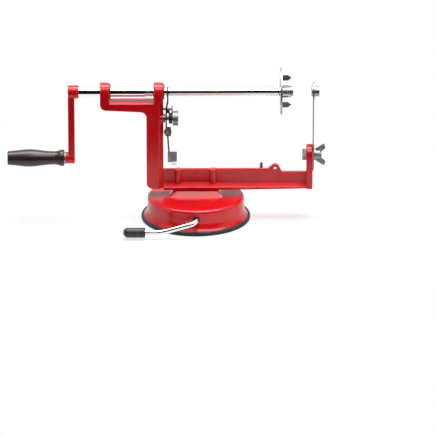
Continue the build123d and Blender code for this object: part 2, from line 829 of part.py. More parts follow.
# Drive shaft: plain at the crank, a right-handed feed thread, and a spigot for the fork.
# The thread's groove faces the latch's nib, on the side towards the lever.
groove_turn = 360.0 * (nib_x - thread_start) / thread_lead
start_angle = 360.0 / thread_starts
crest_angle = thread_crest_share * start_angle
flank_angle = thread_flank_share * start_angle
root_angle = start_angle - crest_angle - 2 * flank_angle
root_radius = shaft_radius - thread_depth
with BuildSketch(Plane.YZ.offset(thread_start)) as thread_section:
    with BuildLine():
        for start in range(thread_starts):
            root_start = 180.0 - groove_turn + start * start_angle - root_angle / 2
            root_end = root_start + root_angle
            crest_start = root_end + flank_angle
            crest_end = crest_start + crest_angle
            ThreePointArc(
                section_point(root_radius, root_start),
                section_point(root_radius, (root_start + root_end) / 2),
                section_point(root_radius, root_end),
            )
            Line(section_point(root_radius, root_end), section_point(shaft_radius, crest_start))
            ThreePointArc(
                section_point(shaft_radius, crest_start),
                section_point(shaft_radius, (crest_start + crest_end) / 2),
                section_point(shaft_radius, crest_end),
            )
            Line(
                section_point(shaft_radius, crest_end),
                section_point(root_radius, crest_end + flank_angle),
            )
    make_face()
thread = Solid.extrude_linear_with_rotation(
    thread_section.sketch.face(),
    (thread_start, 0, shaft_z),
    (thread_length, 0, 0),
    360.0 * thread_length / thread_lead,
)
with BuildPart() as drive_shaft:
    bar_x(shaft_radius, crank_left, thread_start - crank_left, 0, shaft_z)
    add(thread)
    bar_x(spigot_radius, fork_face, fork_thickness + spigot_grip, 0, shaft_z)
    bar_y(crank_pin_radius + seat_clearance, 2 * shaft_radius, 4 * shaft_radius,
          crank_pin_x, shaft_z, Mode.SUBTRACT)
drive_shaft.part.label = "drive_shaft"
export_step(drive_shaft.part, "parts/drive_shaft.step")

# Crank arm with its shaft boss and handle eye
with BuildPart() as crank_arm:
    with BuildSketch(Plane.YZ.offset(crank_left)):
        with Locations((0, shaft_z)):
            Circle(crank_boss_radius)
        with Locations((0, handle_z)):
            Circle(crank_eye_radius)
        span((-crank_waist / 2, handle_z), (crank_waist / 2, shaft_z))
    extrude(amount=crank_arm_thickness)
    for face in (crank_arm.faces().sort_by(Axis.X)[0], crank_arm.faces().sort_by(Axis.X)[-1]):
        fillet(face.edges(), crank_edge_round)
    bar_x(crank_boss_radius, crank_left + crank_arm_thickness / 2,
          crank_boss_length - crank_arm_thickness / 2, 0, shaft_z)
    bar_x(crank_eye_radius, eye_left, crank_eye_length + crank_arm_thickness / 2, 0, handle_z)
    bar_x(shaft_radius + seat_clearance, crank_left, crank_boss_length, 0, shaft_z, Mode.SUBTRACT)
    bar_x(handle_bolt_radius + seat_clearance, eye_left, crank_eye_length + handle_thread_length, 0,
          handle_z, Mode.SUBTRACT)
    bar_y(crank_pin_radius + seat_clearance, 2 * crank_boss_radius,
          2 * crank_boss_radius + crank_pin_depth + seat_clearance, crank_pin_x, shaft_z, Mode.SUBTRACT)
crank_arm.part.label = "crank_arm"
export_step(crank_arm.part, "parts/crank_arm.step")

with BuildPart() as crank_pin:
    bar_y(crank_pin_radius, crank_boss_radius + crank_pin_proud,
          crank_boss_radius + crank_pin_proud + crank_pin_depth, crank_pin_x, shaft_z)
    for face in (crank_pin.faces().sort_by(Axis.Y)[0], crank_pin.faces().sort_by(Axis.Y)[-1]):
        chamfer(face.edges(), crank_pin_proud)
crank_pin.part.label = "crank_pin"
export_step(crank_pin.part, "parts/crank_pin.step")

# Handle: a turned grip that spins on a headed bolt
recess_floor = grip_left + grip_recess_depth
head_left = recess_floor - side_clearance - handle_head_height
with BuildPart() as handle_bolt:
    bar_x(handle_bolt_radius, head_left + handle_head_height / 2,
          crank_left + handle_thread_length - seat_clearance - head_left - handle_head_height / 2, 0,
          handle_z)
    bar_x(handle_head_radius, head_left, handle_head_height, 0, handle_z)
    with BuildSketch(Plane.YZ.offset(head_left)):
        with Locations((0, handle_z)):
            Rectangle(2 * handle_head_radius, handle_slot_width)
    extrude(amount=handle_slot_depth, mode=Mode.SUBTRACT)
handle_bolt.part.label = "handle_bolt"
export_step(handle_bolt.part, "parts/handle_bolt.step")

with BuildPart() as handle_washer:
    bar_x(handle_washer_radius, eye_left - handle_washer_thickness, handle_washer_thickness, 0, handle_z)
    bar_x(handle_bolt_radius + seat_clearance, eye_left - handle_washer_thickness,
          handle_washer_thickness, 0, handle_z, Mode.SUBTRACT)
handle_washer.part.label = "handle_washer"
export_step(handle_washer.part, "parts/handle_washer.step")

with BuildPart() as handle_grip:
    neck_x = grip_right - grip_neck_length
    belly_x = grip_right - grip_belly_length
    with BuildSketch(Plane.XZ):
        with BuildLine():
            Line((grip_left, handle_z), (grip_left, handle_z + grip_tip_radius))
            Spline(
                (grip_left, handle_z + grip_tip_radius),
                (belly_x, handle_z + grip_belly_radius),
                (neck_x, handle_z + grip_neck_radius),
                tangents=[(grip_belly_length, grip_belly_radius - grip_tip_radius), (1, 0)],
            )
            TangentArc(
                (neck_x, handle_z + grip_neck_radius),
                (grip_right - grip_flare_length, handle_z + grip_flare_radius),
                tangent=(1, 0),
            )
            Line(
                (grip_right - grip_flare_length, handle_z + grip_flare_radius),
                (grip_right, handle_z + grip_flare_radius),
            )
            Line((grip_right, handle_z + grip_flare_radius), (grip_right, handle_z))
            Line((grip_right, handle_z), (grip_left, handle_z))
        make_face()
    revolve(axis=Axis((0, 0, handle_z), (1, 0, 0)))
    fillet(handle_grip.faces().sort_by(Axis.X)[0].edges(), grip_edge_round)
    fillet(handle_grip.faces().sort_by(Axis.X)[-1].edges(), grip_edge_round)
    bar_x(grip_recess_radius, grip_left, grip_recess_depth, 0, handle_z, Mode.SUBTRACT)
    bar_x(handle_bolt_radius + sliding_clearance, grip_left, grip_length, 0, handle_z, Mode.SUBTRACT)
handle_grip.part.label = "handle_grip"
export_step(handle_grip.part, "parts/handle_grip.step")

# Fork: a thin plate with flat prongs bent out of their windows, and a hub with a skewer socket
with BuildPart() as fork_plate:
    prong_inner = prong_circle - prong_width / 2
    prong_outer = prong_circle + prong_width / 2
    with BuildSketch(Plane((fork_face, 0, shaft_z), x_dir=(0, 1, 0), z_dir=(1, 0, 0))):
        Circle(fork_radius)
        Circle(spigot_radius + seat_clearance, mode=Mode.SUBTRACT)
        with PolarLocations(0, fork_prongs):
            span(
                (prong_inner, fork_thickness / 2),
                (prong_outer, fork_thickness / 2 + prong_window_length),
                mode=Mode.SUBTRACT,
            )
    extrude(amount=fork_thickness)
    for prong in range(fork_prongs):
        turn = 2 * math.pi * prong / fork_prongs
        across = (0, -math.sin(turn), math.cos(turn))
        with BuildSketch(Plane((fork_face, 0, shaft_z), x_dir=(1, 0, 0), z_dir=across)):
            with BuildLine():
                Polyline(
                    (0, prong_inner),
                    (fork_thickness + prong_length - prong_point, prong_inner),
                    (fork_thickness + prong_length, prong_circle),
                    (fork_thickness + prong_length - prong_point, prong_outer),
                    (0, prong_outer),
                    close=True,
                )
            make_face()
        extrude(amount=fork_thickness / 2, both=True)
fork_plate.part.label = "fork_plate"
export_step(fork_plate.part, "parts/fork_plate.step")

with BuildPart() as fork_hub:
    bar_x(hub_radius, fork_right, hub_length, 0, shaft_z)
    fillet(fork_hub.faces().sort_by(Axis.X)[-1].edges(), hub_edge_round)
    bar_x(spigot_radius + seat_clearance, fork_right, spigot_grip, 0, shaft_z, Mode.SUBTRACT)
    bar_x(skewer_socket_radius, fork_right + hub_length - skewer_socket_depth, skewer_socket_depth, 0,
          shaft_z, Mode.SUBTRACT)
fork_hub.part.label = "fork_hub"
export_step(fork_hub.part, "parts/fork_hub.step")

# Slicing blade: an upright plate with a slot at its foot and a bevelled leading edge
blade_foot = clamp_z - blade_foot_drop
coring_outer = coring_bore + coring_wall
with BuildPart() as slicing_blade:
    with BuildSketch(Plane.YZ.offset(blade_left)):
        span((-blade_width / 2, blade_foot), (blade_width / 2, shaft_z))
        with Locations((0, shaft_z)):
            Circle(blade_head_radius)
            Circle(coring_outer + seat_clearance, mode=Mode.SUBTRACT)
        slot_radius = clamp_bolt_radius + blade_slot_clearance
        with Locations((0, clamp_z)):
            Circle(slot_radius, mode=Mode.SUBTRACT)
        span((-slot_radius, blade_foot), (slot_radius, clamp_z), mode=Mode.SUBTRACT)
    extrude(amount=blade_thickness)
    bevel_bottom = end_post_top + blade_bevel
    with BuildSketch(Plane.XY.offset(bevel_bottom)):
        with BuildLine():
            Polyline(
                (blade_left + blade_edge_thickness, -blade_width / 2),
                (blade_right, -blade_width / 2),
                (blade_right, -blade_width / 2 + blade_bevel),
                close=True,
            )
        make_face()
    extrude(amount=shaft_z - coring_outer - bevel_bottom, mode=Mode.SUBTRACT)
slicing_blade.part.label = "slicing_blade"
export_step(slicing_blade.part, "parts/slicing_blade.step")

with BuildPart() as coring_ring:
    ring_left = blade_left - coring_nose
    ring_right = blade_right + coring_tail
    bar_x(coring_outer, ring_left, ring_right - ring_left, 0, shaft_z)
    bar_x(coring_bore, ring_left, ring_right - ring_left, 0, shaft_z, Mode.SUBTRACT)
    rims = coring_ring.edges().filter_by(GeomType.CIRCLE).group_by(Axis.X)[0]
    chamfer(rims.sort_by(SortBy.RADIUS)[-1], coring_edge)
coring_ring.part.label = "coring_ring"
export_step(coring_ring.part, "parts/coring_ring.step")

# Bolt, washer and wing nut that clamp the blade on the end post
wing_right = wing_left + wing_hub_length
with BuildPart() as clamp_bolt:
    with BuildSketch(Plane.YZ.offset(end_post_left - clamp_head_height)):
        with Locations((0, clamp_z)):
            RegularPolygon(clamp_head_flats / 2, 6, major_radius=False)
    extrude(amount=clamp_head_height)
    bar_x(clamp_bolt_radius, end_post_left, wing_right + clamp_bolt_tail - end_post_left, 0, clamp_z)
clamp_bolt.part.label = "clamp_bolt"
export_step(clamp_bolt.part, "parts/clamp_bolt.step")

with BuildPart() as clamp_washer:
    bar_x(clamp_washer_radius, blade_right, clamp_washer_thickness, 0, clamp_z)
    bar_x(clamp_bolt_radius + wing_bore_clearance, blade_right, clamp_washer_thickness, 0, clamp_z,
          Mode.SUBTRACT)
clamp_washer.part.label = "clamp_washer"
export_step(clamp_washer.part, "parts/clamp_washer.step")

with BuildPart() as wing_nut:
    bar_x(wing_hub_radius, wing_left, wing_hub_length, 0, clamp_z)
    with BuildSketch(Plane.XZ.offset(-wing_thickness / 2)):
        for side in (-1, 1):
            with BuildLine():
                Polyline(
                    (wing_left, clamp_z),
                    (wing_left, clamp_z + side * wing_root_radius),
                    (wing_left + wing_length - wing_tip_cut, clamp_z + side * wing_span / 2),
                    (wing_left + wing_length, clamp_z + side * (wing_span / 2 - wing_width)),
                    (wing_left + wing_hub_length, clamp_z + side * wing_hub_radius / 2),
                    (wing_left + wing_hub_length, clamp_z),
                    close=True,
                )
            make_face()
    extrude(amount=wing_thickness)
    fillet(wing_nut.edges().filter_by(Axis.Y).group_by(Axis.X)[-1], wing_tip_cut / 2)
    bar_x(clamp_bolt_radius + wing_bore_clearance, wing_left, wing_length, 0, clamp_z, Mode.SUBTRACT)
wing_nut.part.label = "wing_nut"
export_step(wing_nut.part, "parts/wing_nut.step")

# Latch lever: a joggled strip with a hub, a nib for the thread, an ear for the spring and a foot
tail_front = latch_pivot_y - latch_tail_width / 2
latch_foot_bottom = latch_z - latch_tail_drop
with BuildPart() as latch_lever:
    with BuildSketch(Plane.XZ.offset(-post_radius)):
        with BuildLine():
            Polyline(
                (latch_left, latch_foot_bottom),
                (latch_right, latch_foot_bottom),
                (latch_right, latch_z + latch_jog_low),
                (latch_arm_left + latch_plate, latch_z + latch_jog_high),
                (latch_arm_left + latch_plate, shaft_z + latch_arm_top),
                (latch_arm_left, shaft_z + latch_arm_top),
                (latch_arm_left, latch_z + latch_jog_high),
                (latch_left, latch_z + latch_jog_low),
                close=True,
            )
        make_face()
    extrude(amount=3 * post_radius)
    with BuildSketch(Plane.YZ.offset(latch_left)):
        with Locations((latch_pivot_y, latch_z)):
            Circle(latch_hub_radius)
            Circle(pivot_screw_radius + running_clearance, mode=Mode.SUBTRACT)
        arm_bottom = latch_z + latch_hub_radius / 2
        span((latch_arm_front, arm_bottom), (latch_arm_back, shaft_z + latch_arm_top))
        tail_top = latch_z - latch_hub_radius / 2
        span((tail_front, latch_foot_bottom), (tail_front + latch_tail_width, tail_top))
    extrude(amount=latch_arm_offset + latch_plate, mode=Mode.INTERSECT)
    with BuildSketch(Plane.XZ.offset(-latch_arm_back)):
        with Locations((nib_x, shaft_z)):
            Rectangle(nib_thickness, nib_height)
    extrude(amount=-(shaft_side_gap + nib_bite))
    ear_front = latch_pivot_y - spring_radius + spring_wire / 2 + latch_gap
    with BuildSketch(Plane.XY.offset(latch_z + latch_ear_rise)):
        span((latch_left, ear_front), (latch_right + latch_ear_length, latch_arm_back))
    extrude(amount=latch_ear_height)
    with BuildSketch(Plane.XZ.offset(-(tail_front + latch_plate))):
        span(
            (latch_left, latch_foot_bottom),
            (latch_left + latch_foot_width, latch_foot_bottom + latch_foot_height),
        )
    extrude(amount=latch_plate)
    bar_y(eye_screw_radius + seat_clearance, tail_front + 2 * latch_plate, 2 * latch_plate, eye_x, eye_z,
          Mode.SUBTRACT)
latch_lever.part.label = "latch_lever"
export_step(latch_lever.part, "parts/latch_lever.step")

# Spacer between the column and the latch
with BuildPart() as latch_spacer:
    bar_x(latch_spacer_radius, column_face, latch_spacer_thickness, latch_pivot_y, latch_z)
    bar_x(pivot_screw_radius + seat_clearance, column_face, latch_spacer_thickness, latch_pivot_y, latch_z,
          Mode.SUBTRACT)
latch_spacer.part.label = "latch_spacer"
export_step(latch_spacer.part, "parts/latch_spacer.step")

# Pivot screw of the latch, with a broad slotted head that has grooves round it
with BuildPart() as latch_pivot_screw:
    bar_x(pivot_head_radius, pivot_head_left, pivot_head_height, latch_pivot_y, latch_z)
    fillet(latch_pivot_screw.faces().sort_by(Axis.X)[-1].edges(), pivot_head_round)
    groove_pitch = (pivot_head_height - pivot_head_round) / (pivot_grooves + 1)
    for groove in range(1, pivot_grooves + 1):
        groove_x = pivot_head_left + groove * groove_pitch - pivot_groove_width / 2
        with BuildSketch(Plane.YZ.offset(groove_x)):
            with Locations((latch_pivot_y, latch_z)):
                Circle(2 * pivot_head_radius)
                Circle(pivot_head_radius - pivot_groove_depth, mode=Mode.SUBTRACT)
        extrude(amount=pivot_groove_width, mode=Mode.SUBTRACT)
    bar_x(pivot_screw_radius, latch_spacer_right - pivot_screw_grip + seat_clearance,
          pivot_head_left - latch_spacer_right + pivot_screw_grip - seat_clearance, latch_pivot_y, latch_z)
    with BuildSketch(Plane.YZ.offset(pivot_head_left + pivot_head_height - pivot_slot_depth)):
        with Locations((latch_pivot_y, latch_z)):
            Rectangle(pivot_slot_width, 2 * pivot_head_radius)
    extrude(amount=pivot_slot_depth, mode=Mode.SUBTRACT)
latch_pivot_screw.part.label = "latch_pivot_screw"
export_step(latch_pivot_screw.part, "parts/latch_pivot_screw.step")

# Fixed post that the spring's second leg bears on
with BuildPart() as spring_post:
    bar_x(spring_post_radius, column_face - spring_post_grip + seat_clearance,
          pivot_head_left - latch_gap - column_face + spring_post_grip - seat_clearance, spring_post_y,
          latch_z + spring_post_rise)
spring_post.part.label = "spring_post"
export_step(spring_post.part, "parts/spring_post.step")

# Torsion spring of the latch: two upright legs and a close helix, as pairs of tangent arcs
coil_x = spring_left + spring_wire / 2
quarter_turns = 2 * spring_half_turns


def coil_point(quarter):
    angle = math.pi + quarter * math.pi / 2
    return Vector(
        coil_x + quarter * spring_pitch / 4,
        latch_pivot_y + spring_radius * math.cos(angle),
        latch_z + spring_radius * math.sin(angle),
    )


def coil_tangent(quarter):
    angle = math.pi + quarter * math.pi / 2
    rise = spring_pitch / (2 * math.pi)
    if quarter in (0, quarter_turns):
        rise = 0.0
    return Vector(rise, -spring_radius * math.sin(angle), spring_radius * math.cos(angle)).normalized()


# Where two tangent arcs meet on their way between two points with given directions
def arc_meeting(start, start_way, end, end_way):
    chord = end - start
    ways = start_way + end_way
    spread = 2 * (1 - start_way.dot(end_way))
    along = 2 * chord.dot(ways)
    reach = (-along + math.sqrt(along * along + 4 * spread * chord.dot(chord))) / (2 * spread)
    return (start + start_way * reach + end - end_way * reach) * 0.5


with BuildPart() as latch_spring:
    with BuildLine() as spring_path:
        Line(coil_point(0) + Vector(0, 0, spring_leg), coil_point(0))
        for quarter in range(quarter_turns):
            start = coil_point(quarter)
            end = coil_point(quarter + 1)
            meeting = arc_meeting(start, coil_tangent(quarter), end, coil_tangent(quarter + 1))
            first = TangentArc(start, meeting, tangent=coil_tangent(quarter))
            TangentArc(meeting, end, tangent=first % 1)
        Line(coil_point(quarter_turns), coil_point(quarter_turns) + Vector(0, 0, spring_leg))
    with BuildSketch(Plane.XY.offset(latch_z + spring_leg)):
        with Locations((coil_x, latch_pivot_y - spring_radius)):
            Circle(spring_wire / 2)
    sweep(path=spring_path.line)
latch_spring.part.label = "latch_spring"
export_step(latch_spring.part, "parts/latch_spring.step")

spring_wire_path = spring_path.wires()[0]
spring_points = [spring_wire_path @ (index / spring_samples) for index in range(spring_samples + 1)]
sample_step = spring_wire_path.length / spring_samples
near_samples = math.ceil(math.pi * spring_radius / sample_step)
spring_gap = min(
    (spring_points[low] - spring_points[high]).length - spring_wire
    for low in range(spring_samples + 1)
    for high in range(low + near_samples, spring_samples + 1)
)
print("latch spring least gap to itself", round(spring_gap, 3))

# Release rod with its eye, and the screw that holds the eye on the latch's foot
tab_top = eye_z - eye_ring_radius - release_rod_length
rod_foot_x = eye_x + release_rod_lean
with BuildPart() as release_rod:
    with BuildSketch(Plane.XY.offset(eye_z)):
        with Locations((eye_x + eye_ring_radius, eye_y)):
            Circle(eye_wire_radius)
    revolve(axis=Axis((eye_x, eye_y, eye_z), (0, 1, 0)))
    with BuildLine() as stem_path:
        stem_line = Line(
            (eye_x, eye_y, eye_z - eye_ring_radius),
            (rod_foot_x, eye_y, tab_top - tab_height / 2),
        )
    with BuildSketch(Plane(stem_line @ 0, z_dir=stem_line % 0)):
        Circle(eye_wire_radius)
    sweep(path=stem_path.line)
release_rod.part.label = "release_rod"
export_step(release_rod.part, "parts/release_rod.step")

with BuildPart() as eye_screw:
    head_front = eye_y - eye_wire_radius - eye_screw_head_height
    bar_y(eye_screw_head_radius, eye_y, eye_y - head_front, eye_x, eye_z)
    fillet(eye_screw.faces().sort_by(Axis.Y)[0].edges(), eye_screw_head_round)
    bar_y(eye_screw_radius, tail_front + 2 * latch_plate, 2 * latch_plate + 2 * eye_wire_radius, eye_x,
          eye_z)
eye_screw.part.label = "eye_screw"
export_step(eye_screw.part, "parts/eye_screw.step")

# Thumb tab: a plate with a hem round the rod and a lip bent forward
with BuildPart() as release_tab:
    hem_bore = eye_wire_radius + seat_clearance
    with BuildSketch(Plane.XY.offset(tab_top - tab_height)):
        span(
            (rod_foot_x, eye_y + tab_hem_radius - tab_plate),
            (rod_foot_x + tab_width, eye_y + tab_hem_radius),
        )
        with Locations((rod_foot_x, eye_y)):
            Circle(tab_hem_radius)
    extrude(amount=tab_height)
    with BuildSketch(Plane.YZ.offset(rod_foot_x + tab_hem_radius)):
        with BuildLine():
            Polyline(
                (eye_y + tab_hem_radius, tab_top - tab_height),
                (eye_y + tab_hem_radius - tab_plate, tab_top - tab_height),
                (eye_y + tab_hem_radius - tab_plate - tab_lip_lean, tab_top - tab_height - tab_lip),
                (eye_y + tab_hem_radius - tab_lip_lean, tab_top - tab_height - tab_lip),
                close=True,
            )
        make_face()
    extrude(amount=tab_width - tab_hem_radius)
    with BuildLine() as hem_path:
        hem_line = Line(stem_line @ 0, stem_line @ 1)
    with BuildSketch(Plane(hem_line @ 0, z_dir=hem_line % 0)):
        Circle(hem_bore)
    sweep(path=hem_path.line, mode=Mode.SUBTRACT)
release_tab.part.label = "release_tab"
export_step(release_tab.part, "parts/release_tab.step")

# Stop pin that stands on the bed behind the web
with BuildPart() as stop_pin:
    pin_shank = bed_thickness - bed_tip_rise + stop_pin_height - stop_pin_tip
    bar_z(stop_pin_radius, bed_bottom + bed_tip_rise, pin_shank, stop_pin_x, stop_pin_y)
    with Locations((stop_pin_x, stop_pin_y, bed_bottom + bed_tip_rise + pin_shank)):
        upwards = (Align.CENTER, Align.CENTER, Align.MIN)
        Cone(stop_pin_radius, stop_pin_radius / 2, stop_pin_tip, align=upwards)
stop_pin.part.label = "stop_pin"
export_step(stop_pin.part, "parts/stop_pin.step")
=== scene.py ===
import json
import math

import bmesh
import bpy
from mathutils import Matrix, Vector


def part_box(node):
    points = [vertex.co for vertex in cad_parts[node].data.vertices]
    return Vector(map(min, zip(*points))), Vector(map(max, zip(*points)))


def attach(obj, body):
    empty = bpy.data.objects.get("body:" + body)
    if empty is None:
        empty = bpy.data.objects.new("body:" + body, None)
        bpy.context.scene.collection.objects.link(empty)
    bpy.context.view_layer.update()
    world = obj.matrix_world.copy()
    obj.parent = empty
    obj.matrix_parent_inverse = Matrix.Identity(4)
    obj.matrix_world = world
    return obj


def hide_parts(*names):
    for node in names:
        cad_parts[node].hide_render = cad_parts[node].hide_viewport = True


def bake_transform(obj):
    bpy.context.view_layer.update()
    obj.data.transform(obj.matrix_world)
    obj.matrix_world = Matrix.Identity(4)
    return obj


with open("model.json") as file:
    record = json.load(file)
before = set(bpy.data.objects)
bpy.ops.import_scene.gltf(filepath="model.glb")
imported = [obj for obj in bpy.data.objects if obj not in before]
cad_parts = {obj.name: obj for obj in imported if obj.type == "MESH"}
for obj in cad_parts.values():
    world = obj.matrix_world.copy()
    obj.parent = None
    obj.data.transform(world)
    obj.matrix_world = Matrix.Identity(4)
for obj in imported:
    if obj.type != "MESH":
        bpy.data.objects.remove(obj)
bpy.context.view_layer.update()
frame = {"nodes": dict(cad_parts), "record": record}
nodes = frame["nodes"]

# Finishes and added pieces for a crank peeling and coring machine, in metres, in the part's own frame.
# X runs along the shaft from the crank to the blade, Y from the lever side to the back, and Z up.
MM = 0.001

# Camera, fitted to the photograph's 437 by 437 frame
VIEW_AZIMUTH = -0.864
VIEW_ELEVATION = 20.823
VIEW_ROLL = 0.096
VIEW_DISTANCE = 4.8956
VIEW_TARGET = (0.022868, 0.0, -0.001248)
VIEW_LENS = 400.0
VIEW_SENSOR = 36.0

# Studio: the floor ends a short way in front, so that bright metal shows a dark front
FLOOR_FRONT = -0.19
FLOOR_BACK = 6.0
FLOOR_SIDE = 6.0
FLOOR_COLOUR = (0.92, 0.92, 0.92)
FLOOR_NEAR = 0.10
FLOOR_FAR = 0.34
FLOOR_NEAR_WHITE = 0.70
SKY_LIGHT = 0.05
SKY_GLOSS = 0.92
FRONT_DARK = (0.006, 0.006, 0.007)
FRONT_TOP = (0.76, 0.84)
FRONT_SIDE = (-0.30, -0.62)
LAMP_AIM = (0.0, 0.0, 0.07)
KEY_PLACE = (0.30, -0.36, 0.98)
KEY_SIZE = (1.1, 0.5)
KEY_WATTS = 7.0
TOP_PLACE = (0.0, 0.10, 1.1)
TOP_SIZE = (1.1, 0.5)
TOP_WATTS = 15.5


# Node helpers
def start_material(name, **sockets):
    material = bpy.data.materials.new(name)
    material.use_nodes = True
    shader = material.node_tree.nodes["Principled BSDF"]
    for socket, value in sockets.items():
        shader.inputs[socket.replace("_", " ")].default_value = value
    return material, material.node_tree, shader


def object_coordinates(tree, stretch):
    source = tree.nodes.new("ShaderNodeTexCoord")
    mapping = tree.nodes.new("ShaderNodeMapping")
    mapping.inputs["Scale"].default_value = stretch
    tree.links.new(source.outputs["Object"], mapping.inputs["Vector"])
    return mapping.outputs["Vector"]


def noise(tree, scale, detail, stretch=(1.0, 1.0, 1.0)):
    texture = tree.nodes.new("ShaderNodeTexNoise")
    texture.inputs["Scale"].default_value = scale
    texture.inputs["Detail"].default_value = detail
    tree.links.new(object_coordinates(tree, stretch), texture.inputs["Vector"])
    return texture.outputs["Fac"]


def colour_between(tree, factor, dark, light, low=0.35, high=0.65):
    ramp = tree.nodes.new("ShaderNodeValToRGB")
    ramp.color_ramp.elements[0].position = low
    ramp.color_ramp.elements[0].color = (*dark, 1.0)
    ramp.color_ramp.elements[1].position = high
    ramp.color_ramp.elements[1].color = (*light, 1.0)
    tree.links.new(factor, ramp.inputs["Fac"])
    return ramp.outputs["Color"]


def value_between(tree, factor, low, high):
    spread = tree.nodes.new("ShaderNodeMapRange")
    spread.inputs["To Min"].default_value = low
    spread.inputs["To Max"].default_value = high
    tree.links.new(factor, spread.inputs["Value"])
    return spread.outputs["Result"]


def math_node(tree, operation, first, second):
    node = tree.nodes.new("ShaderNodeMath")
    node.operation = operation
    tree.links.new(first, node.inputs[0])
    tree.links.new(second, node.inputs[1])
    return node.outputs["Value"]


def bump(tree, height, depth):
    node = tree.nodes.new("ShaderNodeBump")
    node.inputs["Distance"].default_value = depth
    tree.links.new(height, node.inputs["Height"])
    return node.outputs["Normal"]


# Finishes: two linear tones and a range of roughness follow one soft noise, and the relief follows a fine
# grain or the same noise
finishes = {}


def add_finish(name, tones, rough, cloud, grain=None, depth=0.0, **sockets):
    material, tree, shader = start_material(name, **sockets)
    shade = noise(tree, **cloud)
    tree.links.new(colour_between(tree, shade, *tones), shader.inputs["Base Color"])
    tree.links.new(value_between(tree, shade, *rough), shader.inputs["Roughness"])
    if depth:
        height = noise(tree, **grain) if grain else shade
        tree.links.new(bump(tree, height, depth), shader.inputs["Normal"])
    finishes[name] = material


add_finish(
    "red_enamel",
    tones=((0.58, 0.004, 0.008), (0.66, 0.006, 0.011)),
    rough=(0.17, 0.23),
    cloud={"scale": 45.0, "detail": 3.0},
    grain={"scale": 520.0, "detail": 2.0},
    depth=0.004 * MM,
    Specular_IOR_Level=0.5,
)
add_finish(
    "chrome",
    tones=((0.74, 0.75, 0.76), (0.86, 0.87, 0.88)),
    rough=(0.05, 0.11),
    cloud={"scale": 160.0, "detail": 4.0, "stretch": (0.15, 1.0, 1.0)},
    Metallic=1.0,
)
add_finish(
    "fork_steel",
    tones=((0.34, 0.34, 0.345), (0.52, 0.52, 0.525)),
    rough=(0.32, 0.46),
    cloud={"scale": 300.0, "detail": 5.0},
    grain={"scale": 1200.0, "detail": 3.0},
    depth=0.015 * MM,
    Metallic=1.0,
)
# Painted shade: the latch steel's tones are kept darker than the other steel to stand in for the shade on
# the latch pieces beside the column
add_finish(
    "latch_steel",
    tones=((0.13, 0.135, 0.135), (0.25, 0.26, 0.26)),
    rough=(0.26, 0.42),
    cloud={"scale": 300.0, "detail": 5.0},
    grain={"scale": 1200.0, "detail": 3.0},
    depth=0.015 * MM,
    Metallic=1.0,
)
add_finish(
    "zinc_steel",
    tones=((0.24, 0.24, 0.235), (0.40, 0.40, 0.39)),
    rough=(0.40, 0.54),
    cloud={"scale": 260.0, "detail": 5.0},
    grain={"scale": 1400.0, "detail": 3.0},
    depth=0.02 * MM,
    Metallic=1.0,
)
# Painted shade: the near-black tones of the spring wire stand in for the shade on the latch spring's coil
# beside the column
add_finish(
    "spring_steel",
    tones=((0.05, 0.05, 0.052), (0.11, 0.11, 0.114)),
    rough=(0.22, 0.38),
    cloud={"scale": 420.0, "detail": 4.0},
    Metallic=1.0,
)
add_finish(
    "blade_steel",
    tones=((0.30, 0.29, 0.30), (0.46, 0.45, 0.46)),
    rough=(0.30, 0.44),
    cloud={"scale": 700.0, "detail": 4.0, "stretch": (1.0, 1.0, 0.04)},
    depth=0.01 * MM,
    Metallic=1.0,
)
add_finish(
    "rubber",
    tones=((0.012, 0.014, 0.013), (0.030, 0.034, 0.031)),
    rough=(0.42, 0.62),
    cloud={"scale": 90.0, "detail": 5.0},
    grain={"scale": 1500.0, "detail": 2.0},
    depth=0.03 * MM,
    Specular_IOR_Level=0.4,
)
add_finish(
    "black_nylon",
    tones=((0.014, 0.014, 0.015), (0.034, 0.034, 0.036)),
    rough=(0.34, 0.50),
    cloud={"scale": 140.0, "detail": 4.0},
    grain={"scale": 1800.0, "detail": 2.0},
    depth=0.025 * MM,
)
add_finish(
    "dark_grip",
    tones=((0.012, 0.006, 0.005), (0.034, 0.016, 0.012)),
    rough=(0.26, 0.42),
    cloud={"scale": 240.0, "detail": 5.0, "stretch": (0.12, 1.0, 1.0)},
    depth=0.04 * MM,
    Coat_Weight=0.2,
    Coat_Roughness=0.15,
)
for subpart in frame["record"]["subparts"]:
    node = nodes[subpart["node"]]
    node.data.materials.clear()
    node.data.materials.append(finishes[subpart["material_slot"]])


# Mesh helpers
def piece_from(name, builder, slot, smooth_angle=35.0):
    mesh = bpy.data.meshes.new(name)
    bmesh.ops.recalc_face_normals(builder, faces=builder.faces[:])
    builder.to_mesh(mesh)
    builder.free()
    mesh.shade_smooth()
    mesh.set_sharp_from_angle(angle=math.radians(smooth_angle))
    mesh.materials.append(finishes[slot])
    piece = bpy.data.objects.new(name, mesh)
    bpy.context.scene.collection.objects.link(piece)
    return piece


def bridge(builder, rings, closed=False):
    count = len(rings[0])
    last = len(rings) if closed else len(rings) - 1
    for index in range(last):
        near = rings[index]
        far = rings[(index + 1) % len(rings)]
        for side in range(count):
            following = (side + 1) % count
            builder.faces.new((near[side], near[following], far[following], far[side]))


